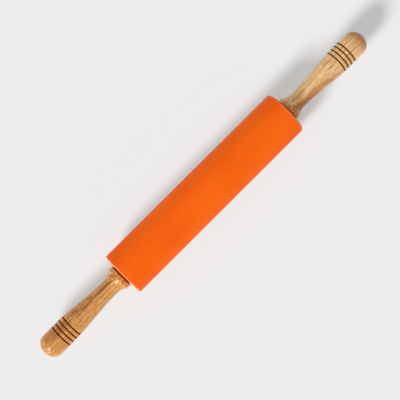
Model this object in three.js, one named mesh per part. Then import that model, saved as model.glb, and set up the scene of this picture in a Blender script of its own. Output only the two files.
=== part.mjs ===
// Silicone rolling pin: a silicone covered roller that spins on a steel rod between two turned handles.
// Millimetres. The pin lies along X on the plane Z = 0, with the middle of the roller over the origin.
import * as THREE from 'three';

// Roller: a stiff core inside a moulded silicone sleeve
const rollerLength = 220;
const rollerDiameter = 47;
const sleeveWall = 3;
const sleeveEndWall = 2;
const mouldedEdgeRadius = 2;
const cutEdgeRadius = 0.7;

// Steel rod through the roller, with thinner ends that screw into the handles
const rodDiameter = 8;
const rodEndDiameter = 6;
const rodEndLength = 20;
const rodTipChamfer = 0.8;
const coreBoreDiameter = 10;

// Flanged bearing bushes pressed into the core
const bushBodyDiameter = 15;
const bushBodyLength = 18;
const bushFlangeDiameter = 22;
const bushProud = 0.2;

// Plain washers between the roller and the handles
const washerDiameter = 20;
const washerThickness = 1.2;

// Threaded inserts in the handles
const insertDiameter = 10;
const insertLength = 24;
const blindBoreSpare = 4;

// Turned handle, measured along X from the face that looks at the roller
const handleLength = 103.2;
const collarDiameter = 24.8;
const collarWidth = 4.6;
const collarEdgeRadius = 0.6;
const neckDiameter = 17.2;
const neckDistance = 15.8;
const bellyDiameter = 24.8;
const bellyDistance = 75.8;
const tipLength = 10.5;

// Burnt rings cut into the grip
const grooveCount = 4;
const firstGrooveDistance = 67;
const groovePitch = 4.5;
const grooveWidth = 1.3;
const grooveDepth = 0.6;

// Clearances between pieces
const runningClearance = 0.15;
const pressClearance = 0.08;
const seatGap = 0.05;
const endPlay = 0.1;

// Facets round each turned piece, and along each curved stretch
const sleeveFacets = 72;
const handleFacets = 40;
const innerFacets = 24;
const edgeSteps = 5;
const flareSteps = 7;
const taperSteps = 11;
const tipSteps = 9;

// Places along X on the right hand side, which the left hand side mirrors
const rollerEnd = rollerLength / 2;
const coreEnd = rollerEnd - sleeveEndWall - seatGap;
const flangeOuter = rollerEnd + bushProud;
const flangeInner = rollerEnd - sleeveEndWall;
const washerInner = flangeOuter + endPlay;
const washerOuter = washerInner + washerThickness;
const handleFace = washerOuter + endPlay;

// A flat facet of the sleeve lies on the plane Z = 0
const axisHeight = (rollerDiameter / 2) * Math.cos(Math.PI / sleeveFacets);

const silicone = { color: 0xf2620f, roughness: 0.55, metalness: 0 };
const varnishedWood = { color: 0xcf9a5e, roughness: 0.4, metalness: 0 };
const plainWood = { color: 0xd8b78a, roughness: 0.75, metalness: 0 };
const nylon = { color: 0xe9e4d8, roughness: 0.5, metalness: 0 };
const darkNylon = { color: 0x2b211c, roughness: 0.6, metalness: 0 };
const steel = { color: 0xb8bcc0, roughness: 0.3, metalness: 1 };
const brass = { color: 0xb8923f, roughness: 0.35, metalness: 1 };

const part = new THREE.Group();

// A closed outline of [distance along X, radius] points, turned about the pin's axis
function turned(name, outline, facets, finish) {
  const points = outline.map(([along, radius]) => new THREE.Vector2(radius, along));
  const geometry = new THREE.LatheGeometry(points, facets, Math.PI / facets);
  const mesh = new THREE.Mesh(geometry, new THREE.MeshStandardMaterial(finish));
  mesh.name = name;
  mesh.rotation.z = -Math.PI / 2;
  mesh.position.z = axisHeight;
  part.add(mesh);
}

// The same outline for the left hand end: mirrored, and run backwards so that it still faces out
function mirrored(outline) {
  return outline.map(([along, radius]) => [-along, radius]).reverse();
}

function closed(outline) {
  return [...outline, outline[0]];
}

// Points of a circular arc from one angle to another, in degrees from the X direction
function arc(centreAlong, centreRadius, radius, from, to, steps) {
  const points = [];
  for (let i = 0; i <= steps; i += 1) {
    const angle = THREE.MathUtils.degToRad(from + ((to - from) * i) / steps);
    points.push([centreAlong + radius * Math.cos(angle), centreRadius + radius * Math.sin(angle)]);
  }
  return points;
}

// Silicone sleeve: a tube with a thin wall at each end, open round the bush flanges.
// The right end has the moulded round edge, the left end is cut nearly square.
function makeSleeve() {
  const outer = rollerDiameter / 2;
  const inner = outer - sleeveWall;
  const opening = bushFlangeDiameter / 2 + pressClearance;
  const wallFace = rollerEnd - sleeveEndWall;
  const round = mouldedEdgeRadius;
  const cut = cutEdgeRadius;
  turned('silicone_sleeve', closed([
    [-rollerEnd, opening],
    ...arc(-rollerEnd + cut, outer - cut, cut, 180, 90, edgeSteps),
    ...arc(rollerEnd - round, outer - round, round, 90, 0, edgeSteps),
    [rollerEnd, opening],
    [wallFace, opening],
    [wallFace, inner],
    [-wallFace, inner],
    [-wallFace, opening],
  ]), sleeveFacets, silicone);
}

// Core: a turned cylinder with a clearance bore and a pocket for a bush at each end
function makeCore() {
  const outer = rollerDiameter / 2 - sleeveWall - pressClearance;
  const pocket = bushBodyDiameter / 2 + pressClearance;
  const bore = coreBoreDiameter / 2;
  const pocketFloor = flangeInner - bushBodyLength - seatGap;
  turned('roller_core', closed([
    [-coreEnd, pocket],
    [-coreEnd, outer],
    [coreEnd, outer],
    [coreEnd, pocket],
    [pocketFloor, pocket],
    [pocketFloor, bore],
    [-pocketFloor, bore],
    [-pocketFloor, pocket],
  ]), innerFacets, plainWood);
}

function bushOutline() {
  const bore = rodDiameter / 2 + runningClearance;
  const flange = bushFlangeDiameter / 2;
  const body = bushBodyDiameter / 2;
  const bodyEnd = flangeInner - bushBodyLength;
  return closed([
    [bodyEnd, bore],
    [bodyEnd, body],
    [flangeInner, body],
    [flangeInner, flange],
    [flangeOuter, flange],
    [flangeOuter, bore],
  ]);
}

function washerOutline() {
  const hole = rodDiameter / 2 + runningClearance;
  const outer = washerDiameter / 2;
  return closed([
    [washerInner, hole],
    [washerInner, outer],
    [washerOuter, outer],
    [washerOuter, hole],
  ]);
}

function insertOutline() {
  const bore = rodEndDiameter / 2 + pressClearance;
  const outer = insertDiameter / 2;
  const start = handleFace + seatGap;
  const end = start + insertLength;
  return closed([
    [start, bore],
    [start, outer],
    [end, outer],
    [end, bore],
  ]);
}

// Rod: full diameter between the handles, stepped down to the ends that screw into the inserts
function makeRod() {
  const full = rodDiameter / 2;
  const thin = rodEndDiameter / 2;
  const shoulder = handleFace;
  const tip = shoulder + rodEndLength;
  const half = [
    [shoulder, full],
    [shoulder, thin],
    [tip - rodTipChamfer, thin],
    [tip, thin - rodTipChamfer],
    [tip, 0],
  ];
  turned('axle_rod', [...mirrored(half), ...half], innerFacets, steel);
}

// Radius of the grip past the neck: an S curve up to the belly, a straight belly, a rounded end
function gripRadius(distance) {
  const neck = neckDiameter / 2;
  const belly = bellyDiameter / 2;
  const roundStart = handleLength - tipLength;
  if (distance > roundStart) {
    const share = Math.min((distance - roundStart) / tipLength, 1);
    return belly * Math.sqrt(1 - share * share);
  }
  return neck + (belly - neck) * THREE.MathUtils.smoothstep(distance, neckDistance, bellyDistance);
}

// Distances along the grip where its outline has a point, with the groove edges among them
function gripStations() {
  const taperLength = bellyDistance - neckDistance;
  const roundStart = handleLength - tipLength;
  const grooveCentres = Array.from({ length: grooveCount }, (_, i) => firstGrooveDistance + i * groovePitch);
  const stations = [];
  for (let i = 1; i <= taperSteps; i += 1) {
    stations.push(neckDistance + (taperLength * i) / taperSteps);
  }
  for (let i = 0; i < tipSteps; i += 1) {
    stations.push(roundStart + tipLength * Math.sin((Math.PI / 2) * (i / tipSteps)));
  }
  const smooth = stations
    .filter((distance) => grooveCentres.every((centre) => Math.abs(distance - centre) > grooveWidth))
    .map((distance) => [distance, gripRadius(distance)]);
  const grooves = grooveCentres.flatMap((centre) => [
    [centre - grooveWidth / 2, gripRadius(centre - grooveWidth / 2)],
    [centre, gripRadius(centre) - grooveDepth],
    [centre + grooveWidth / 2, gripRadius(centre + grooveWidth / 2)],
  ]);
  return [...smooth, ...grooves].sort((a, b) => a[0] - b[0]);
}

// Handle: collar, hollow flare down to the neck, tapered grip with rings, rounded end and a blind bore
function handleOutline() {
  const collar = collarDiameter / 2;
  const neck = neckDiameter / 2;
  const bore = insertDiameter / 2 + pressClearance;
  const boreDepth = seatGap + insertLength + blindBoreSpare;
  const edge = collarEdgeRadius;
  const flareRun = neckDistance - collarWidth;
  const flareRise = collar - neck;
  const flareRadius = (flareRun * flareRun + flareRise * flareRise) / (2 * flareRise);
  const flareStart = 270 - THREE.MathUtils.radToDeg(Math.asin(flareRun / flareRadius));
  const outline = [
    [boreDepth, 0],
    [boreDepth, bore],
    [0, bore],
    ...arc(edge, collar - edge, edge, 180, 90, 2),
    ...arc(neckDistance, neck + flareRadius, flareRadius, flareStart, 270, flareSteps),
    ...gripStations(),
    [handleLength, 0],
  ];
  return outline.map(([distance, radius]) => [handleFace + distance, radius]);
}

makeSleeve();
makeCore();
makeRod();
turned('bush_right', bushOutline(), innerFacets, nylon);
turned('bush_left', mirrored(bushOutline()), innerFacets, nylon);
turned('thrust_washer_right', washerOutline(), innerFacets, darkNylon);
turned('thrust_washer_left', mirrored(washerOutline()), innerFacets, darkNylon);
turned('insert_right', insertOutline(), innerFacets, brass);
turned('insert_left', mirrored(insertOutline()), innerFacets, brass);
turned('handle_right', handleOutline(), handleFacets, varnishedWood);
turned('handle_left', mirrored(handleOutline()), handleFacets, varnishedWood);

export default part;
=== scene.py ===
import math

import bmesh
import bpy
from mathutils import Matrix, Vector
from mathutils.geometry import interpolate_bezier


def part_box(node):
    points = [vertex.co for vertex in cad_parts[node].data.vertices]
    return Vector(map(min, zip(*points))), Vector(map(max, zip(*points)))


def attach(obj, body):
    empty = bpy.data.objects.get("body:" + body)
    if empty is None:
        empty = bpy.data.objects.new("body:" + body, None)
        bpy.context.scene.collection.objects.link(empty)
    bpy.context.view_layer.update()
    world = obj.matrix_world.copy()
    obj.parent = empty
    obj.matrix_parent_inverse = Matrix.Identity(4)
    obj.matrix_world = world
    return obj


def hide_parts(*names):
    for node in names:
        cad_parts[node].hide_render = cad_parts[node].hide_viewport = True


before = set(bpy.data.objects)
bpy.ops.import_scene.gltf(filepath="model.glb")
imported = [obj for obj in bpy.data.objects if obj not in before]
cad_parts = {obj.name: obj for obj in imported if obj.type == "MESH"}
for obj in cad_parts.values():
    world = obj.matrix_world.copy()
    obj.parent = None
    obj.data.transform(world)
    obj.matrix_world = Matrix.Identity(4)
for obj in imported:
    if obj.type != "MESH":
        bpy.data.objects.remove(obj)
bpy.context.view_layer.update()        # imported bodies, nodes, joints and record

mm = 0.001
sleeveLow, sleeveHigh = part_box("silicone_sleeve")
sleeveRadius = (sleeveHigh.z - sleeveLow.z) / 2
axisHeight = (sleeveLow.z + sleeveHigh.z) / 2        # the pin's axis runs along X at this height
faceAt, tipAt = (corner.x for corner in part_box("handle_right"))        # the left handle mirrors these
print("frame loaded, axis at", round(axisHeight / mm, 2), "mm")


# Colours are written as they look on screen
def tint(code):
    channels = [int(code[i:i + 2], 16) / 255 for i in (1, 3, 5)]
    linear = [c / 12.92 if c <= 0.04045 else ((c + 0.055) / 1.055) ** 2.4 for c in channels]
    return (*linear, 1.0)


# Small helpers for node trees
def addNode(tree, kind, place, **settings):
    node = tree.nodes.new(kind)
    node.location = place
    for key, value in settings.items():
        setattr(node, key, value)
    return node


def feed(tree, socket, value):
    if isinstance(value, bpy.types.NodeSocket):
        tree.links.new(value, socket)
    else:
        socket.default_value = value


def mathNode(tree, operation, first, second, place, third=None):
    node = addNode(tree, "ShaderNodeMath", place, operation=operation)
    for socket, value in zip(node.inputs, (first, second, third)):
        if value is not None:
            feed(tree, socket, value)
    return node.outputs[0]


def rangeNode(tree, value, low, high, place, outLow=0.0, outHigh=1.0):
    node = addNode(tree, "ShaderNodeMapRange", place, interpolation_type="SMOOTHSTEP")
    for name, setting in (("Value", value), ("From Min", low), ("From Max", high),
                          ("To Min", outLow), ("To Max", outHigh)):
        feed(tree, node.inputs[name], setting)
    return node.outputs["Result"]


def splitNode(tree, vector, place):
    node = addNode(tree, "ShaderNodeSeparateXYZ", place)
    feed(tree, node.inputs["Vector"], vector)
    return node.outputs


# Moves a pattern on its piece, and turns it by degrees
def shiftNode(tree, vector, shift, place, turn=(0, 0, 0)):
    node = addNode(tree, "ShaderNodeMapping", place)
    feed(tree, node.inputs["Vector"], vector)
    node.inputs["Location"].default_value = shift
    node.inputs["Rotation"].default_value = [math.radians(angle) for angle in turn]
    return node.outputs["Vector"]


# Noise with its own scale along each axis, per metre
def noiseNode(tree, vector, noise, place):
    mapping = addNode(tree, "ShaderNodeMapping", place)
    feed(tree, mapping.inputs["Vector"], vector)
    mapping.inputs["Scale"].default_value = noise["scale"]
    node = addNode(tree, "ShaderNodeTexNoise", (place[0] + 200, place[1]))
    feed(tree, node.inputs["Vector"], mapping.outputs["Vector"])
    node.inputs["Scale"].default_value = 1.0
    node.inputs["Detail"].default_value = noise["detail"]
    node.inputs["Roughness"].default_value = noise["roughness"]
    return node.outputs["Fac"]


def mixColour(tree, factor, first, second, place):
    node = addNode(tree, "ShaderNodeMix", place, data_type="RGBA")
    feed(tree, node.inputs["Factor"], factor)
    feed(tree, node.inputs["A"], first)
    feed(tree, node.inputs["B"], second)
    return node.outputs["Result"]


def rampNode(tree, factor, codes, positions, place):
    ramp = addNode(tree, "ShaderNodeValToRGB", place)
    stops = ramp.color_ramp.elements
    stops[0].position, stops[1].position = positions[0], positions[-1]
    stops[0].color, stops[1].color = tint(codes[0]), tint(codes[-1])
    for code, position in zip(codes[1:-1], positions[1:-1]):
        stops.new(position).color = tint(code)
    feed(tree, ramp.inputs["Fac"], factor)
    return ramp.outputs["Color"]


# Light that bounces on to the floor gets a calmer tone than the camera sees
def calmBounce(tree, colour, finish, place):
    rays = addNode(tree, "ShaderNodeLightPath", place)
    spot = (place[0] + 150, place[1])
    bounce = mathNode(tree, "MULTIPLY", rays.outputs["Is Diffuse Ray"], finish["calm"], spot)
    return mixColour(tree, bounce, colour, tint(finish["bounceColour"]), (place[0] + 300, place[1]))


def newMaterial(name):
    material = bpy.data.materials.new(name)
    material.use_nodes = True
    tree = material.node_tree
    tree.nodes.clear()
    output = addNode(tree, "ShaderNodeOutputMaterial", (900, 0))
    shader = addNode(tree, "ShaderNodeBsdfPrincipled", (600, 0))
    tree.links.new(shader.outputs["BSDF"], output.inputs["Surface"])
    coords = addNode(tree, "ShaderNodeTexCoord", (-1200, 0))
    return material, tree, shader, coords.outputs["Object"]


def bumpNode(tree, shader, height, finish, place):
    bump = addNode(tree, "ShaderNodeBump", place)
    bump.inputs["Strength"].default_value = finish["bump"]
    bump.inputs["Distance"].default_value = finish["bumpDepth"] * mm
    feed(tree, bump.inputs["Height"], height)
    tree.links.new(bump.outputs["Normal"], shader.inputs["Normal"])


# A shared group reads a vector and some values, and puts out values or masks
def newGroup(name, values, results):
    group = bpy.data.node_groups.new(name, "ShaderNodeTree")
    group.interface.new_socket(name="Vector", in_out="INPUT", socket_type="NodeSocketVector")
    for label in values:
        group.interface.new_socket(name=label, in_out="INPUT", socket_type="NodeSocketFloat")
    for label in results:
        group.interface.new_socket(name=label, in_out="OUTPUT", socket_type="NodeSocketFloat")
    start = addNode(group, "NodeGroupInput", (-1000, 0))
    end = addNode(group, "NodeGroupOutput", (1000, 0))
    return group, start.outputs, end.inputs


def placeGroup(tree, group, place, **values):
    node = addNode(tree, "ShaderNodeGroup", place, node_tree=group)
    for label, value in values.items():
        feed(tree, node.inputs[label], value)
    return node.outputs


# Wood that was turned along X: faint growth rings, long fibres, broad streaks and short open pores.
# The noises are stretched along the grain, and the ranges cut masks out of them.
grainPattern = {
    "ringBend": 2.2,
    "ringDetail": 2.0,
    "ringDetailScale": 0.35,
    "fibre": {"scale": (12, 950, 950), "detail": 2.0, "roughness": 0.5},
    "hair": {"scale": (90, 2600, 2600), "detail": 2.0, "roughness": 0.5},
    "vessel": {"scale": (50, 1300, 1300), "detail": 1.0, "roughness": 0.4},
    "broad": {"scale": (9, 260, 260), "detail": 3.0, "roughness": 0.6},
    "drawn": {"scale": (7, 1100, 1100), "detail": 1.0, "roughness": 0.5},
    "ringShare": 0.08,
    "fibreShare": 0.56,
    "hairShare": 0.36,
    "poreRange": (0.55, 0.68),
    "streakRange": (0.46, 0.66),
    "lineRange": (0.54, 0.64),
}


def makeGrainGroup():
    group, given, result = newGroup("turnedGrain", ["RingScale"],
                                    ["Grain", "Fibre", "Pores", "Streak", "Lines"])
    along = given["Vector"]
    rings = addNode(group, "ShaderNodeTexWave", (-600, 300), wave_type="RINGS", rings_direction="X")
    feed(group, rings.inputs["Vector"], along)
    feed(group, rings.inputs["Scale"], given["RingScale"])
    rings.inputs["Distortion"].default_value = grainPattern["ringBend"]
    rings.inputs["Detail"].default_value = grainPattern["ringDetail"]
    rings.inputs["Detail Scale"].default_value = grainPattern["ringDetailScale"]
    fibre = noiseNode(group, along, grainPattern["fibre"], (-800, 0))
    hair = noiseNode(group, along, grainPattern["hair"], (-800, -300))
    vessels = noiseNode(group, along, grainPattern["vessel"], (-800, -600))
    broad = noiseNode(group, along, grainPattern["broad"], (-800, -900))
    drawn = noiseNode(group, along, grainPattern["drawn"], (-800, -1200))
    grain = mathNode(group, "MULTIPLY", rings.outputs["Fac"], grainPattern["ringShare"], (-200, 300))
    grain = mathNode(group, "MULTIPLY_ADD", fibre, grainPattern["fibreShare"], (0, 200), grain)
    grain = mathNode(group, "MULTIPLY_ADD", hair, grainPattern["hairShare"], (200, 100), grain)
    feed(group, result["Grain"], grain)
    feed(group, result["Fibre"], hair)
    feed(group, result["Pores"], rangeNode(group, vessels, *grainPattern["poreRange"], (0, -600)))
    feed(group, result["Streak"], rangeNode(group, broad, *grainPattern["streakRange"], (0, -900)))
    feed(group, result["Lines"], rangeNode(group, drawn, *grainPattern["lineRange"], (0, -1200)))
    return group


# One darker band: a slanted plane through the wood, with a wandering edge. It draws growth layers, and on
# the right handle also painted shade.
layerPattern = {"wander": {"scale": (20, 260, 260), "detail": 4.0, "roughness": 0.7}}


def makeLayerGroup():
    group, given, result = newGroup("layerAndShadeBand", ["Offset", "Slope", "Width", "Wander"], ["Mask"])
    split = splitNode(group, given["Vector"], (-800, 200))
    wander = noiseNode(group, given["Vector"], layerPattern["wander"], (-800, -100))
    centred = mathNode(group, "SUBTRACT", wander, 0.5, (-400, -100))
    plane = mathNode(group, "MULTIPLY_ADD", split["X"], given["Slope"], (-500, 200), given["Offset"])
    away = mathNode(group, "SUBTRACT", split["Y"], plane, (-300, 200))
    away = mathNode(group, "MULTIPLY_ADD", centred, given["Wander"], (-100, 100), away)
    away = mathNode(group, "ABSOLUTE", away, None, (100, 100))
    feed(group, result["Mask"], rangeNode(group, away, 0.0, given["Width"], (400, 100), 1.0, 0.0))
    return group


# Burnt rings: a mask of evenly spaced lines along X, the same on both handles
ringPattern = {"burntShare": 0.85}        # of a line's width, the rest is its soft edge


def makeRingGroup():
    group, given, result = newGroup("burntRings", ["First", "Pitch", "Last", "HalfWidth", "Scorch"],
                                    ["Mask", "Halo"])
    split = splitNode(group, given["Vector"], (-800, 0))
    along = mathNode(group, "ABSOLUTE", split["X"], None, (-600, 0))
    along = mathNode(group, "SUBTRACT", along, given["First"], (-450, 0))
    step = mathNode(group, "DIVIDE", along, given["Pitch"], (-300, 0))
    nearest = mathNode(group, "ROUND", step, None, (-150, 0))
    nearest = mathNode(group, "MAXIMUM", nearest, 0.0, (0, 0))
    nearest = mathNode(group, "MINIMUM", nearest, given["Last"], (150, 0))
    away = mathNode(group, "SUBTRACT", step, nearest, (300, 0))
    away = mathNode(group, "ABSOLUTE", away, None, (400, 0))
    away = mathNode(group, "MULTIPLY", away, given["Pitch"], (500, 0))
    half = given["HalfWidth"]
    inner = mathNode(group, "MULTIPLY", half, ringPattern["burntShare"], (500, -200))
    feed(group, result["Mask"], rangeNode(group, away, inner, half, (750, 100), 1.0, 0.0))
    feed(group, result["Halo"], rangeNode(group, away, half, given["Scorch"], (750, -200), 1.0, 0.0))
    return group


grainGroup = makeGrainGroup()
layerGroup = makeLayerGroup()
ringGroup = makeRingGroup()
print("shared node groups made")

# Turned pieces: an outline of (along, radius) in millimetres, spun about the pin's axis
turning = {"mergeDistance": 0.002, "sharpAngle": 35.0}


def arcPoints(along, radius, size, start, end, steps):
    angles = [math.radians(start + (end - start) * i / steps) for i in range(steps + 1)]
    return [(along + size * math.cos(a), radius + size * math.sin(a)) for a in angles]


def bezierPoints(start, startHandle, endHandle, end, steps):
    knots = [Vector((*p, 0)) for p in (start, startHandle, endHandle, end)]
    return [(p.x, p.y) for p in interpolate_bezier(*knots, steps + 1)]


def spinOutline(name, outline, steps, isLoop):
    bm = bmesh.new()
    verts = [bm.verts.new((along * mm, 0, axisHeight + radius * mm)) for along, radius in outline]
    pairs = list(zip(verts, verts[1:]))
    if isLoop:
        pairs.append((verts[-1], verts[0]))
    edges = [bm.edges.new(pair) for pair in pairs]
    bmesh.ops.spin(bm, geom=verts + edges, cent=(0, 0, axisHeight), axis=(1, 0, 0),
                   angle=math.tau, steps=steps, use_merge=True)
    bmesh.ops.remove_doubles(bm, verts=bm.verts, dist=turning["mergeDistance"] * mm)
    bmesh.ops.recalc_face_normals(bm, faces=bm.faces)
    mesh = bpy.data.meshes.new(name)
    bm.to_mesh(mesh)
    bm.free()
    mesh.shade_smooth()
    mesh.set_sharp_from_angle(angle=math.radians(turning["sharpAngle"]))
    piece = bpy.data.objects.new(name, mesh)
    bpy.context.collection.objects.link(piece)
    return piece


def dress(piece, material):
    piece.data.materials.clear()
    piece.data.materials.append(material)


# Silicone sleeve: rounded edge on the right, nearly square cut on the left. Lengths in millimetres
sleeve = {
    "mouldedEdge": 2.0,
    "mouldedSteps": 12,
    "cutEdge": 0.7,
    "cutSteps": 6,
    "wall": 3.0,
    "endWall": 2.0,
    "opening": 11.08,
    "turnSteps": 192,
    "colour": "#F86813",
    "deepColour": "#F15F10",
    "cloud": {"scale": (18, 30, 30), "detail": 3.0, "roughness": 0.55},
    "cloudRange": (0.3, 0.7),
    "speck": {"scale": (1400, 1400, 1400), "detail": 2.0, "roughness": 0.6},
    "speckRange": (0.3, 0.7),
    "edgeHighlightColour": "#FFA868",        # painted highlight, paler along both end edges
    "edgeHighlightAmount": 0.6,
    "edgeHighlightBand": (1.6, 0.9),        # depth under the sharp corner where the painted highlight starts and is full
    "highlightLineInset": 1.9,        # painted highlight line where the moulded edge starts to turn
    "highlightLineWidth": 0.9,
    "lineAmount": 0.3,
    "roughness": (0.46, 0.58),
    "specular": 0.06,
    "subsurface": 0.06,
    "subsurfaceRadius": (1.0, 0.35, 0.1),
    "subsurfaceDepth": 2.0,
    "bump": 0.12,
    "bumpDepth": 0.06,
    "bounceColour": "#8E7E76",
    "calm": 0.85,
}


# Painted highlight along both end edges: radius and distance along X add up highest where an end turns
# into the side
def paintedEdgeHighlight(tree, split, colour):
    height = mathNode(tree, "SUBTRACT", split["Z"], axisHeight, (-550, 700))
    radius = mathNode(tree, "MULTIPLY", height, height, (-450, 700))
    radius = mathNode(tree, "MULTIPLY_ADD", split["Y"], split["Y"], (-350, 700), radius)
    radius = mathNode(tree, "SQRT", radius, None, (-250, 700))
    along = mathNode(tree, "ABSOLUTE", split["X"], None, (-450, 550))
    rim = mathNode(tree, "ADD", radius, along, (-150, 600))
    start, full = (sleeveHigh.x + sleeveRadius - depth * mm for depth in sleeve["edgeHighlightBand"])
    edges = rangeNode(tree, rim, start, full, (0, 600), 0.0, sleeve["edgeHighlightAmount"])
    return mixColour(tree, edges, colour, tint(sleeve["edgeHighlightColour"]), (100, 500))


# Painted highlight: a pale line where the moulded right end starts to turn
def paintedMouldedHighlight(tree, split, colour):
    lineAt = sleeveHigh.x - sleeve["highlightLineInset"] * mm
    away = mathNode(tree, "SUBTRACT", split["X"], lineAt, (-450, 850))
    away = mathNode(tree, "ABSOLUTE", away, None, (-300, 850))
    width = sleeve["highlightLineWidth"] * mm
    line = rangeNode(tree, away, 0.0, width, (-100, 850), sleeve["lineAmount"], 0.0)
    return mixColour(tree, line, colour, tint(sleeve["edgeHighlightColour"]), (200, 600))


def makeSilicone():
    material, tree, shader, coords = newMaterial("orange_silicone")
    cloud = noiseNode(tree, coords, sleeve["cloud"], (-900, 200))
    speck = noiseNode(tree, coords, sleeve["speck"], (-900, -100))
    tone = rangeNode(tree, cloud, *sleeve["cloudRange"], (-300, 200))
    colour = mixColour(tree, tone, tint(sleeve["colour"]), tint(sleeve["deepColour"]), (0, 200))
    split = splitNode(tree, coords, (-700, 600))
    # painted highlights along both end edges and on the moulded edge
    colour = paintedEdgeHighlight(tree, split, colour)
    colour = paintedMouldedHighlight(tree, split, colour)
    colour = calmBounce(tree, colour, sleeve, (50, 350))
    tree.links.new(colour, shader.inputs["Base Color"])
    rough = rangeNode(tree, speck, *sleeve["speckRange"], (0, -50), *sleeve["roughness"])
    tree.links.new(rough, shader.inputs["Roughness"])
    shader.inputs["Subsurface Weight"].default_value = sleeve["subsurface"]
    shader.inputs["Subsurface Radius"].default_value = sleeve["subsurfaceRadius"]
    shader.inputs["Subsurface Scale"].default_value = sleeve["subsurfaceDepth"] * mm
    shader.inputs["Specular IOR Level"].default_value = sleeve["specular"]
    bumpNode(tree, shader, speck, sleeve, (300, -300))
    return material


def makeSleeve():
    outer = sleeveRadius / mm
    inner = outer - sleeve["wall"]
    right, left = sleeveHigh.x / mm, sleeveLow.x / mm
    cut, moulded = sleeve["cutEdge"], sleeve["mouldedEdge"]
    outline = [(left, sleeve["opening"])]
    outline += arcPoints(left + cut, outer - cut, cut, 180, 90, sleeve["cutSteps"])
    outline += arcPoints(right - moulded, outer - moulded, moulded, 90, 0, sleeve["mouldedSteps"])
    outline += [
        (right, sleeve["opening"]),
        (right - sleeve["endWall"], sleeve["opening"]),
        (right - sleeve["endWall"], inner),
        (left + sleeve["endWall"], inner),
        (left + sleeve["endWall"], sleeve["opening"]),
    ]
    piece = spinOutline("sleeve_skin", outline, sleeve["turnSteps"], True)
    dress(piece, makeSilicone())
    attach(piece, "roller")
    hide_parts("silicone_sleeve")


makeSleeve()
print("sleeve made")

# Turned handles: lengths in millimetres, places measured from the face that looks at the roller
handle = {
    "collarRadius": 12.4,
    "collarWidth": 4.6,
    "collarEdge": 0.6,
    "collarSteps": 5,
    "neckRadius": 8.6,
    "neckAt": 15.8,
    "flareSteps": 16,
    "bellyRadius": 12.4,
    "bellyAt": 75.8,
    "gripSteps": 40,
    "tipLength": 10.5,
    "tipBulge": 0.5523,        # bezier handle that makes a quarter ellipse
    "tipSteps": 24,
    "firstGroove": 67.0,
    "groovePitch": 4.5,
    "grooveCount": 4,
    "grooveWidth": 1.3,
    "grooveDepth": 0.6,
    "grooveLip": 0.12,
    "lipDrop": 0.03,
    "boreRadius": 5.08,
    "boreDepth": 28.05,
    "turnSteps": 144,
}

# Figure of each handle's wood, colours from light to dark.
# A layer has its offset, slope, half width and wander in metres, and its amount. On the right handle the
# last two are painted shade.
leftWood = {
    "grain": ("#F1BC7A", "#E4A75C", "#D28D44", "#AC6626"),
    "streakColour": "#B8742F",
    "streakAmount": 0.32,
    "layerAndShadeColour": "#8E3E0A",
    "layersAndShades": ((0.0052, 0.004, 0.0055, 0.004, 0.66), (0.0016, -0.012, 0.0011, 0.002, 0.45)),
    "poreColour": "#7E4419",
    "poreAmount": 0.5,
    "lineAmount": 0.3,
    "burntColour": "#580E00",
    "scorchColour": "#8E3600",
    # collar: wood streaks on a ground tinted by painted orange reflection of the sleeve
    "collarStreakAndReflectColour": "#B84E14",
    "collarReflectGround": "#F6A54E",
    "collarReflectAmount": 0.85,
    "tipAmount": 0.0,
    "pith": (0.0, 0.031, 0.012),
    "tilt": (0.0, 1.0, 1.6),
    "ringScale": 95.0,
}
rightWood = {
    "grain": ("#F7D5A6", "#EDC58E", "#DFB174", "#BA864A"),
    "streakColour": "#D2A060",
    "streakAmount": 0.45,
    "layerAndShadeColour": "#A86216",
    "layersAndShades": ((-0.0055, 0.0, 0.0045, 0.005, 0.42), (-0.0032, 0.0445, 0.0006, 0.0012, 0.8),
               # the last two are painted shade: the roller's shadow on the -Y side of the neck, and shade
               # on the -Y side of the collar and flare
               (0.0125, -0.145, 0.006, 0.003, 0.8), (0.0339, -0.35, 0.0085, 0.002, 1.25)),
    "poreColour": "#965620",
    "poreAmount": 0.42,
    "lineAmount": 0.3,
    "burntColour": "#541800",
    "scorchColour": "#96500A",
    # collar: wood streaks on a ground tinted by painted orange reflection of the sleeve
    "collarStreakAndReflectColour": "#9A4A10",
    "collarReflectGround": "#DC8E42",
    "collarReflectAmount": 0.55,
    "tipAmount": 0.8,
    "pith": (0.2, -0.026, 0.02),
    "tilt": (0.0, -1.0, 1.4),
    "ringScale": 80.0,
}

# What both handles share. Bands are millimetres from the roller side face, or from the tip
woodFinish = {
    "grainStops": (0.34, 0.45, 0.55, 0.68),
    "grainRange": (0.3, 0.7),        # from the smoothest to the roughest
    "layerGrainRange": (0.42, 0.58),
    "layerGrainStrength": (0.4, 1.3),        # weaker on pale grain, stronger on dark
    "layerFadeFromTip": (28.0, 8.0),
    "layerLeftAtTip": 0.35,
    "flecks": {"scale": (60, 640, 640), "detail": 2.0, "roughness": 0.6},
    "fleckRange": (0.42, 0.6),
    "collarReflectBand": (2.5, 6.0),
    "gapShadeColour": "#780C00",        # painted shade: dark red edge by the roller, for the shaded gap
    "gapShadeBand": (0.4, 1.2),
    "gapShadeAmount": 0.9,
    "tipBand": (21.0, 1.0),        # darker towards the tip
    "scorchReach": 1.15,
    "scorchAmount": 0.62,
    "roughness": (0.34, 0.48),
    "varnish": 0.75,
    "varnishRoughness": 0.3,
    "specular": 0.1,
    "bump": 0.18,
    "bumpDepth": 0.08,
    "bounceColour": "#9C968F",
    "calm": 0.7,
}
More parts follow.
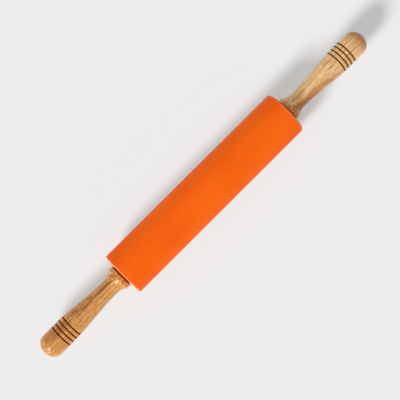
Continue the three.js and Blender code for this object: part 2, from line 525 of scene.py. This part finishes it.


# Grain, broad streaks, the darker growth layers, and the painted shade bands
def woodFigure(tree, coords, grain, reach, wood):
    colour = rampNode(tree, grain["Grain"], wood["grain"], woodFinish["grainStops"], (-500, 300))
    streak = mathNode(tree, "MULTIPLY", grain["Streak"], wood["streakAmount"], (-500, 500))
    colour = mixColour(tree, streak, colour, tint(wood["streakColour"]), (-350, 400))
    start, end = (tipAt - distance * mm for distance in woodFinish["layerFadeFromTip"])
    fade = rangeNode(tree, reach, start, end, (-650, -600), 1.0, woodFinish["layerLeftAtTip"])
    grainWeight = rangeNode(tree, grain["Grain"], *woodFinish["layerGrainRange"], (-600, -80),
                     *woodFinish["layerGrainStrength"])
    for count, (offset, slope, width, wander, amount) in enumerate(wood["layersAndShades"]):
        row = -150 * count
        layer = placeGroup(tree, layerGroup, (-750, row), Vector=coords, Offset=offset, Slope=slope,
                           Width=width, Wander=wander)
        strength = mathNode(tree, "MULTIPLY", layer["Mask"], amount, (-600, row))
        strength = mathNode(tree, "MULTIPLY", strength, grainWeight, (-450, row))
        strength = mathNode(tree, "MULTIPLY", strength, fade, (-300, row))
        colour = mixColour(tree, strength, colour, tint(wood["layerAndShadeColour"]), (-200, 250 + row))
    return colour


# Collar with wood streaks and painted orange reflection of the sleeve, painted shade along its edge by
# the roller, and the darker tip
def collarAndTip(tree, coords, reach, wood, colour):
    # painted orange reflection of the sleeve on the collar, over its wood streaks
    flecks = noiseNode(tree, coords, woodFinish["flecks"], (-700, -900))
    fleckMask = rangeNode(tree, flecks, *woodFinish["fleckRange"], (-450, -900))
    ground = mixColour(tree, fleckMask, tint(wood["collarReflectGround"]), tint(wood["collarStreakAndReflectColour"]), (-250, 500))
    start, end = (faceAt + distance * mm for distance in woodFinish["collarReflectBand"])
    collar = rangeNode(tree, reach, start, end, (-450, -700), wood["collarReflectAmount"], 0.0)
    colour = mixColour(tree, collar, colour, ground, (-100, 300))
    # painted shade: dark red at the collar's edge by the roller, where the gap lies in shade
    start, end = (faceAt + distance * mm for distance in woodFinish["gapShadeBand"])
    rim = rangeNode(tree, reach, start, end, (-450, -800), woodFinish["gapShadeAmount"], 0.0)
    colour = mixColour(tree, rim, colour, tint(woodFinish["gapShadeColour"]), (-90, 350))
    start, end = (tipAt - distance * mm for distance in woodFinish["tipBand"])
    tip = rangeNode(tree, reach, start, end, (-450, -1050), 0.0, wood["tipAmount"])
    return mixColour(tree, tip, colour, tint(wood["layerAndShadeColour"]), (-80, 400))


def makeHandleWood(name, wood):
    material, tree, shader, coords = newMaterial(name)
    x, y, z = wood["pith"]
    turned = shiftNode(tree, coords, (x, y, z - axisHeight), (-1000, 200), wood["tilt"])
    grain = placeGroup(tree, grainGroup, (-750, 300), Vector=turned, RingScale=wood["ringScale"])
    split = splitNode(tree, coords, (-900, -700))
    reach = mathNode(tree, "ABSOLUTE", split["X"], None, (-750, -700))
    colour = woodFigure(tree, coords, grain, reach, wood)
    colour = collarAndTip(tree, coords, reach, wood, colour)
    for mask, amount in (("Lines", wood["lineAmount"]), ("Pores", wood["poreAmount"])):
        strength = mathNode(tree, "MULTIPLY", grain[mask], amount, (-200, -250))
        colour = mixColour(tree, strength, colour, tint(wood["poreColour"]), (0, 150))
    rings = placeGroup(
        tree, ringGroup, (-400, -500), Vector=coords,
        First=faceAt + handle["firstGroove"] * mm, Pitch=handle["groovePitch"] * mm,
        Last=float(handle["grooveCount"] - 1), HalfWidth=handle["grooveWidth"] / 2 * mm,
        Scorch=woodFinish["scorchReach"] * mm,
    )
    halo = mathNode(tree, "MULTIPLY", rings["Halo"], woodFinish["scorchAmount"], (0, -300))
    colour = mixColour(tree, halo, colour, tint(wood["scorchColour"]), (150, 100))
    colour = mixColour(tree, rings["Mask"], colour, tint(wood["burntColour"]), (300, 100))
    colour = calmBounce(tree, colour, woodFinish, (150, 400))
    tree.links.new(colour, shader.inputs["Base Color"])
    rough = rangeNode(tree, grain["Grain"], *woodFinish["grainRange"], (300, -150),
                      *woodFinish["roughness"])
    rough = mathNode(tree, "MAXIMUM", rough, rings["Mask"], (450, -150))
    tree.links.new(rough, shader.inputs["Roughness"])
    varnish = rangeNode(tree, rings["Mask"], 0.0, 1.0, (300, -300), woodFinish["varnish"], 0.0)
    tree.links.new(varnish, shader.inputs["Coat Weight"])        # none in the burnt rings
    shader.inputs["Coat Roughness"].default_value = woodFinish["varnishRoughness"]
    shader.inputs["Specular IOR Level"].default_value = woodFinish["specular"]
    relief = mathNode(tree, "SUBTRACT", grain["Fibre"], grain["Pores"], (100, -600))
    bumpNode(tree, shader, relief, woodFinish, (300, -450))
    return material


# Radius of a polyline at one distance
def radiusAt(points, along):
    for (a, ra), (b, rb) in zip(points, points[1:]):
        if a <= along <= b:
            return ra + (rb - ra) * (along - a) / (b - a)
    return points[-1][1]


# V grooves with softened lips, put into the outline in place of the points they remove
def cutGrooves(points):
    half, deep = handle["grooveWidth"] / 2, handle["grooveDepth"]
    lip, drop = handle["grooveLip"], handle["lipDrop"]
    side = [(half + lip, 0), (half, drop), (half - lip, lip), (lip, deep - drop)]
    shape = [(-a, d) for a, d in side] + [(0, deep)] + side[::-1]
    cut = list(points)
    for i in range(handle["grooveCount"]):
        centre = handle["firstGroove"] + i * handle["groovePitch"]
        groove = [(centre + a, radiusAt(points, centre + a) - d) for a, d in shape]
        cut = [p for p in cut if abs(p[0] - centre) > half + 2 * lip] + groove
    return sorted(cut)


# Blind bore, collar, hollow flare down to the neck, S-shaped grip with grooves, and a rounded end
def handleOutline():
    collar, neck, belly = handle["collarRadius"], handle["neckRadius"], handle["bellyRadius"]
    neckAt, bellyAt = handle["neckAt"], handle["bellyAt"]
    edge, bulge = handle["collarEdge"], handle["tipBulge"]
    bore, boreDepth = handle["boreRadius"], handle["boreDepth"]
    length = (tipAt - faceAt) / mm
    roundStart = length - handle["tipLength"]
    outline = [(boreDepth, 0), (boreDepth, bore), (0, bore)]
    outline += arcPoints(edge, collar - edge, edge, 180, 90, handle["collarSteps"])
    run, rise = neckAt - handle["collarWidth"], collar - neck
    flare = (run * run + rise * rise) / (2 * rise)
    lean = math.degrees(math.asin(run / flare))
    outline += arcPoints(neckAt, neck + flare, flare, 270 - lean, 270, handle["flareSteps"])
    third = (bellyAt - neckAt) / 3
    grip = bezierPoints((neckAt, neck), (neckAt + third, neck), (bellyAt - third, belly),
                        (bellyAt, belly), handle["gripSteps"])[1:]
    tip = bezierPoints((roundStart, belly), (roundStart + handle["tipLength"] * bulge, belly),
                       (length, belly * bulge), (length, 0), handle["tipSteps"])
    return outline + cutGrooves(grip + tip[:1]) + tip[1:]


def makeHandles():
    outline = handleOutline()
    for side, sign, wood in (("left", -1, leftWood), ("right", 1, rightWood)):
        placed = [(sign * (faceAt / mm + along), radius) for along, radius in outline]
        piece = spinOutline("handle_skin_" + side, placed, handle["turnSteps"], False)
        dress(piece, makeHandleWood("varnished_wood_" + side, wood))
        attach(piece, "handles")
        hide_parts("handle_" + side)


makeHandles()
print("handles made")

# Thin dark washers in the gap between roller and handles, in millimetres
washer = {
    "radius": 10.0,
    "hole": 4.15,
    "edge": 0.15,
    "edgeSteps": 3,
    "turnSteps": 96,
    # painted reflection: the dark red stands for the sleeve's orange light caught in the shaded gap
    "colour": "#8C1002",
    "wornAndReflectColour": "#96240C",
    "markScale": 700.0,        # fine turning marks
    "markBend": 0.6,
    "dust": {"scale": (400, 400, 400), "detail": 3.0, "roughness": 0.6},
    "wornRange": (0.45, 0.75),
    "dustRange": (0.2, 0.8),
    "roughness": (0.5, 0.7),
    "specular": 0.1,
    "bump": 0.15,
    "bumpDepth": 0.05,
}


def makeWasherPlastic():
    material, tree, shader, coords = newMaterial("nylon_with_painted_reflection")
    centred = shiftNode(tree, coords, (0, 0, -axisHeight), (-1000, 0))
    marks = addNode(tree, "ShaderNodeTexWave", (-700, 0), wave_type="RINGS", rings_direction="X")
    feed(tree, marks.inputs["Vector"], centred)
    marks.inputs["Scale"].default_value = washer["markScale"]
    marks.inputs["Distortion"].default_value = washer["markBend"]
    dust = noiseNode(tree, coords, washer["dust"], (-700, -300))
    tone = rangeNode(tree, dust, *washer["wornRange"], (-200, -300))
    colour = mixColour(tree, tone, tint(washer["colour"]), tint(washer["wornAndReflectColour"]), (100, 100))
    tree.links.new(colour, shader.inputs["Base Color"])
    rough = rangeNode(tree, dust, *washer["dustRange"], (100, -150), *washer["roughness"])
    tree.links.new(rough, shader.inputs["Roughness"])
    shader.inputs["Specular IOR Level"].default_value = washer["specular"]
    bumpNode(tree, shader, marks.outputs["Fac"], washer, (300, -300))
    return material


def makeWashers():
    material = makeWasherPlastic()
    edge, rim, steps = washer["edge"], washer["radius"], washer["edgeSteps"]
    for side in ("left", "right"):
        node = "thrust_washer_" + side
        low, high = (corner.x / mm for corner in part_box(node))
        outline = [(low, washer["hole"])]
        outline += arcPoints(low + edge, rim - edge, edge, 180, 90, steps)
        outline += arcPoints(high - edge, rim - edge, edge, 90, 0, steps)
        outline += [(high, washer["hole"])]
        piece = spinOutline("washer_ring_" + side, outline, washer["turnSteps"], True)
        dress(piece, material)
        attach(piece, "handles")
        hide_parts(node)


makeWashers()
print("washers made")

# Inner pieces keep their solids and get their finish here
bushNylon = {
    "colours": ("#E9E3D6", "#D9D0BE"),
    "marks": {"scale": (120, 120, 120), "detail": 3.0, "roughness": 0.6},
    "markRange": (0.2, 0.8),
    "roughness": (0.4, 0.6),
    "metallic": 0.0,
    "bump": 0.05,
    "bumpDepth": 0.05,
}
rodSteel = {
    "colours": ("#B9BDC1", "#8E9398"),
    "marks": {"scale": (30, 1500, 1500), "detail": 4.0, "roughness": 0.65},        # drawn along the rod
    "markRange": (0.2, 0.8),
    "roughness": (0.22, 0.42),
    "metallic": 1.0,
    "bump": 0.08,
    "bumpDepth": 0.03,
}
insertBrass = {
    **rodSteel,
    "colours": ("#C79B45", "#9A7230"),
    "marks": {"scale": (1500, 60, 60), "detail": 4.0, "roughness": 0.65},        # they run round it
}
coreWood = {
    "grain": ("#E3C59A", "#D3AE7C", "#BE935F", "#A27645"),
    "grainStops": (0.28, 0.44, 0.58, 0.74),
    "pith": (0.05, 0.008, 0.014),
    "ringScale": 80.0,
    "grainRange": (0.3, 0.7),
    "roughness": (0.6, 0.8),
    "bump": 0.2,
    "bumpDepth": 0.1,
}


def makeInnerFinish(name, finish):
    material, tree, shader, coords = newMaterial(name)
    marks = noiseNode(tree, coords, finish["marks"], (-700, 100))
    light, dark = (tint(code) for code in finish["colours"])
    tree.links.new(mixColour(tree, marks, light, dark, (0, 100)), shader.inputs["Base Color"])
    rough = rangeNode(tree, marks, *finish["markRange"], (0, -100), *finish["roughness"])
    tree.links.new(rough, shader.inputs["Roughness"])
    shader.inputs["Metallic"].default_value = finish["metallic"]
    bumpNode(tree, shader, marks, finish, (300, -300))
    return material


def makeCoreWood():
    material, tree, shader, coords = newMaterial("raw_core_wood")
    x, y, z = coreWood["pith"]
    centred = shiftNode(tree, coords, (x, y, z - axisHeight), (-1000, 0))
    grain = placeGroup(tree, grainGroup, (-700, 0), Vector=centred, RingScale=coreWood["ringScale"])
    colour = rampNode(tree, grain["Grain"], coreWood["grain"], coreWood["grainStops"], (-400, 100))
    tree.links.new(colour, shader.inputs["Base Color"])
    rough = rangeNode(tree, grain["Grain"], *coreWood["grainRange"], (0, -100), *coreWood["roughness"])
    tree.links.new(rough, shader.inputs["Roughness"])
    bumpNode(tree, shader, grain["Fibre"], coreWood, (300, -300))
    return material


def dressInnerPieces():
    nylon = makeInnerFinish("natural_nylon", bushNylon)
    steel = makeInnerFinish("drawn_steel", rodSteel)
    brass = makeInnerFinish("turned_brass", insertBrass)
    core = makeCoreWood()
    finishes = {"bush_left": nylon, "bush_right": nylon, "axle_rod": steel,
                "insert_left": brass, "insert_right": brass, "roller_core": core}
    for node, material in finishes.items():
        dress(bpy.data.objects[node], material)


dressInnerPieces()
print("inner pieces dressed")

# Plain pale floor, in metres
floor = {
    "size": 8.0,
    "colour": "#EEEEEE",
    "cloudColour": "#E0E0E0",
    "cloud": {"scale": (2, 2, 2), "detail": 1.0, "roughness": 0.5},
    "cloudAmount": 0.01,
    "roughness": 0.9,
}


def makeFloor():
    bm = bmesh.new()
    bmesh.ops.create_grid(bm, x_segments=1, y_segments=1, size=floor["size"] / 2)
    mesh = bpy.data.meshes.new("floor")
    bm.to_mesh(mesh)
    bm.free()
    sheet = bpy.data.objects.new("floor", mesh)
    bpy.context.collection.objects.link(sheet)
    material, tree, shader, coords = newMaterial("pale_floor")
    cloud = noiseNode(tree, coords, floor["cloud"], (-700, 0))
    tone = rangeNode(tree, cloud, 0.0, 1.0, (-200, 0), 0.0, floor["cloudAmount"])
    colour = mixColour(tree, tone, tint(floor["colour"]), tint(floor["cloudColour"]), (100, 0))
    tree.links.new(colour, shader.inputs["Base Color"])
    shader.inputs["Roughness"].default_value = floor["roughness"]
    shader.inputs["Specular IOR Level"].default_value = 0.0
    dress(sheet, material)


makeFloor()
print("floor made")

# Light: a low soft key from beyond the left handle, shadowless fills from both sides, a little all round.
# Angles are degrees, headings turn from X towards Y.
studio = {
    "lamps": {
        "key": {"heading": 190.0, "elevation": 31.5, "energy": 2.28, "spread": 15.0, "casts": True},
        "fillFront": {"heading": 270.0, "elevation": 35.0, "energy": 1.16, "spread": 20.0,
                      "casts": False},
        "fillBack": {"heading": 90.0, "elevation": 35.0, "energy": 1.0, "spread": 20.0,
                     "casts": False},
    },
    "around": 0.21,
}


def makeLamp(name, lamp):
    light = bpy.data.lights.new(name, "SUN")
    light.energy = lamp["energy"]
    light.angle = math.radians(lamp["spread"])
    light.use_shadow = lamp["casts"]
    holder = bpy.data.objects.new(name, light)
    holder.visible_glossy = lamp["casts"]        # only the key glints on the varnish
    bpy.context.collection.objects.link(holder)
    heading, lift = math.radians(lamp["heading"]), math.radians(lamp["elevation"])
    level = math.cos(lift)
    towards = Vector((math.cos(heading) * level, math.sin(heading) * level, math.sin(lift)))
    holder.matrix_world = towards.to_track_quat("Z", "Y").to_matrix().to_4x4()


# The world lights weakly, and shows the floor's tone to the camera and in reflections
def makeWorld():
    world = bpy.data.worlds.new("studio")
    bpy.context.scene.world = world
    world.use_nodes = True
    tree = world.node_tree
    tree.nodes.clear()
    output = addNode(tree, "ShaderNodeOutputWorld", (600, 0))
    lit = addNode(tree, "ShaderNodeBackground", (0, 100))
    lit.inputs["Color"].default_value = (1, 1, 1, 1)
    lit.inputs["Strength"].default_value = studio["around"]
    seen = addNode(tree, "ShaderNodeBackground", (0, -100))
    seen.inputs["Color"].default_value = tint(floor["colour"])
    rays = addNode(tree, "ShaderNodeLightPath", (-400, 300)).outputs
    shown = mathNode(tree, "MAXIMUM", rays["Is Camera Ray"], rays["Is Glossy Ray"], (-200, 300))
    shown = mathNode(tree, "MAXIMUM", shown, rays["Is Transmission Ray"], (0, 300))
    pick = addNode(tree, "ShaderNodeMixShader", (300, 0))
    tree.links.new(shown, pick.inputs["Fac"])
    tree.links.new(lit.outputs["Background"], pick.inputs[1])
    tree.links.new(seen.outputs["Background"], pick.inputs[2])
    tree.links.new(pick.outputs["Shader"], output.inputs["Surface"])


for lampName, lampValues in studio["lamps"].items():
    makeLamp(lampName, lampValues)
makeWorld()
print("light made")

# Camera: nearly overhead, leaning a little from the photographer's side
camera = {
    "place": (-57.0, -53.4, 1108.2),        # millimetres
    "target": (-8.0, -1.6, 23.2),
    "upHeading": 45.05,        # direction of the picture's top, seen from above
    "lens": 102.3,
    "sensor": 36.0,
    "clip": (0.01, 50.0),        # metres
}


def makeCamera():
    data = bpy.data.cameras.new("camera")
    data.lens, data.sensor_width = camera["lens"], camera["sensor"]
    data.clip_start, data.clip_end = camera["clip"]
    eye = bpy.data.objects.new("camera", data)
    bpy.context.collection.objects.link(eye)
    place, target = (Vector(camera[key]) * mm for key in ("place", "target"))
    ahead = (target - place).normalized()
    turn = math.radians(camera["upHeading"])
    right = ahead.cross(Vector((math.cos(turn), math.sin(turn), 0))).normalized()
    up = right.cross(ahead)
    rotation = Matrix((right, up, -ahead)).transposed().to_4x4()
    eye.matrix_world = Matrix.Translation(place) @ rotation
    bpy.context.scene.camera = eye


makeCamera()
bpy.context.scene.view_settings.view_transform = "Standard"
print("camera set")
